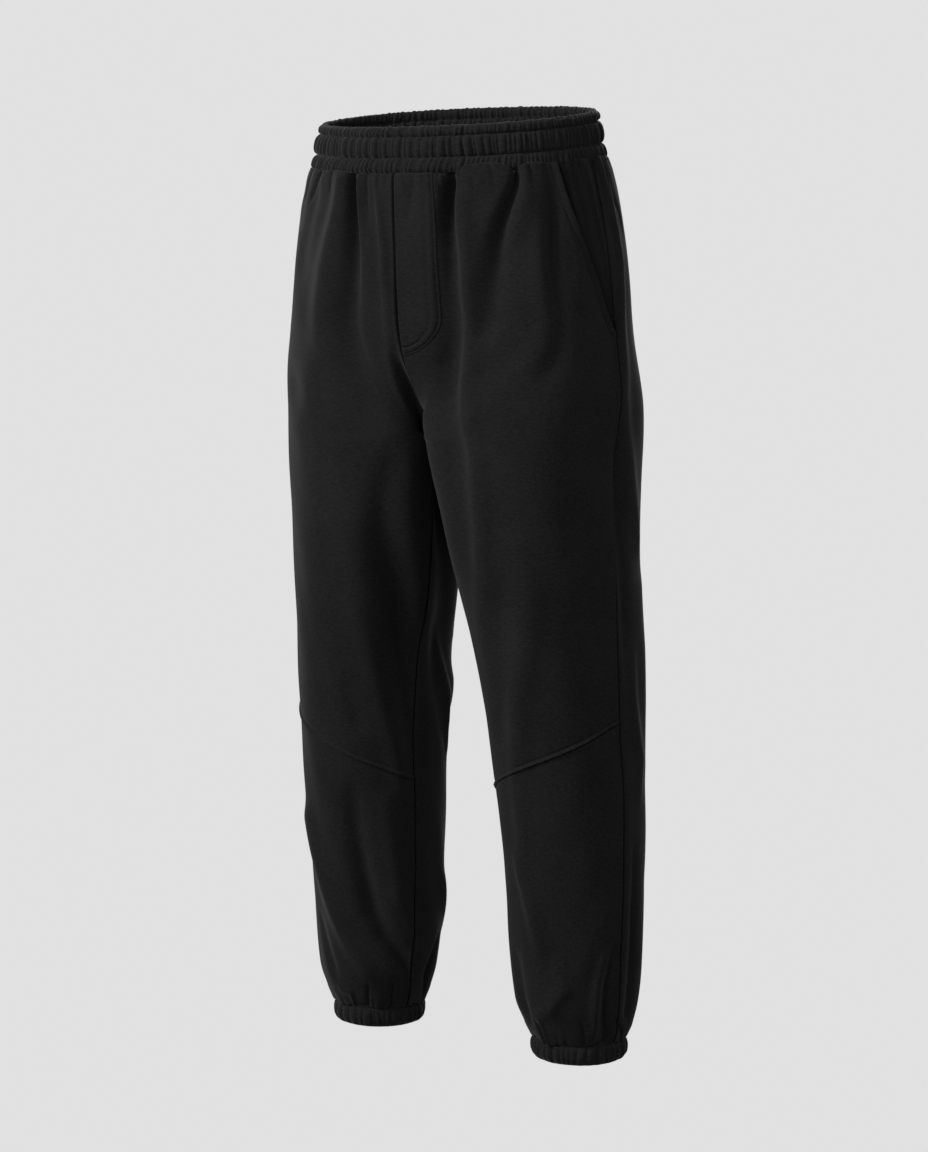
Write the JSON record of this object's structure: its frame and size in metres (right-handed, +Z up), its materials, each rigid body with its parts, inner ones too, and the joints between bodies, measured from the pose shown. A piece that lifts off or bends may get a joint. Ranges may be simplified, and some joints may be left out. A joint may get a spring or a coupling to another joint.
{
  "type": "jogger sweatpants",
  "caption": "Black fleece jogger trousers filled out as worn: gathered elastic waistband, mock fly, slant pockets, knee seams and elastic cuffs.",
  "frame": {"origin": "middle of the waist opening, level with the rim at the sides, where the wearer's waist holds the garment", "axes": "+Z up, front towards -Y, the wearer's left towards +X"},
  "size_m": [0.4312, 0.2458, 1.0193],
  "materials": {
    "fleece": "black brushed fleece, matt",
    "band": "black fleece gathered over elastic, matt",
    "facing": "black brushed fleece, matt"
  },
  "bodies": {
    "root": {"waistband": "band", "front_left": "fleece", "front_right": "fleece", "fly_placket": "fleece", "pocket_facing_left": "facing", "pocket_facing_right": "facing", "knee_panel_left": "fleece", "knee_panel_right": "fleece", "back_left": "fleece", "back_right": "fleece", "cuff_left": "band", "cuff_right": "band"}
  },
  "joints": []
}
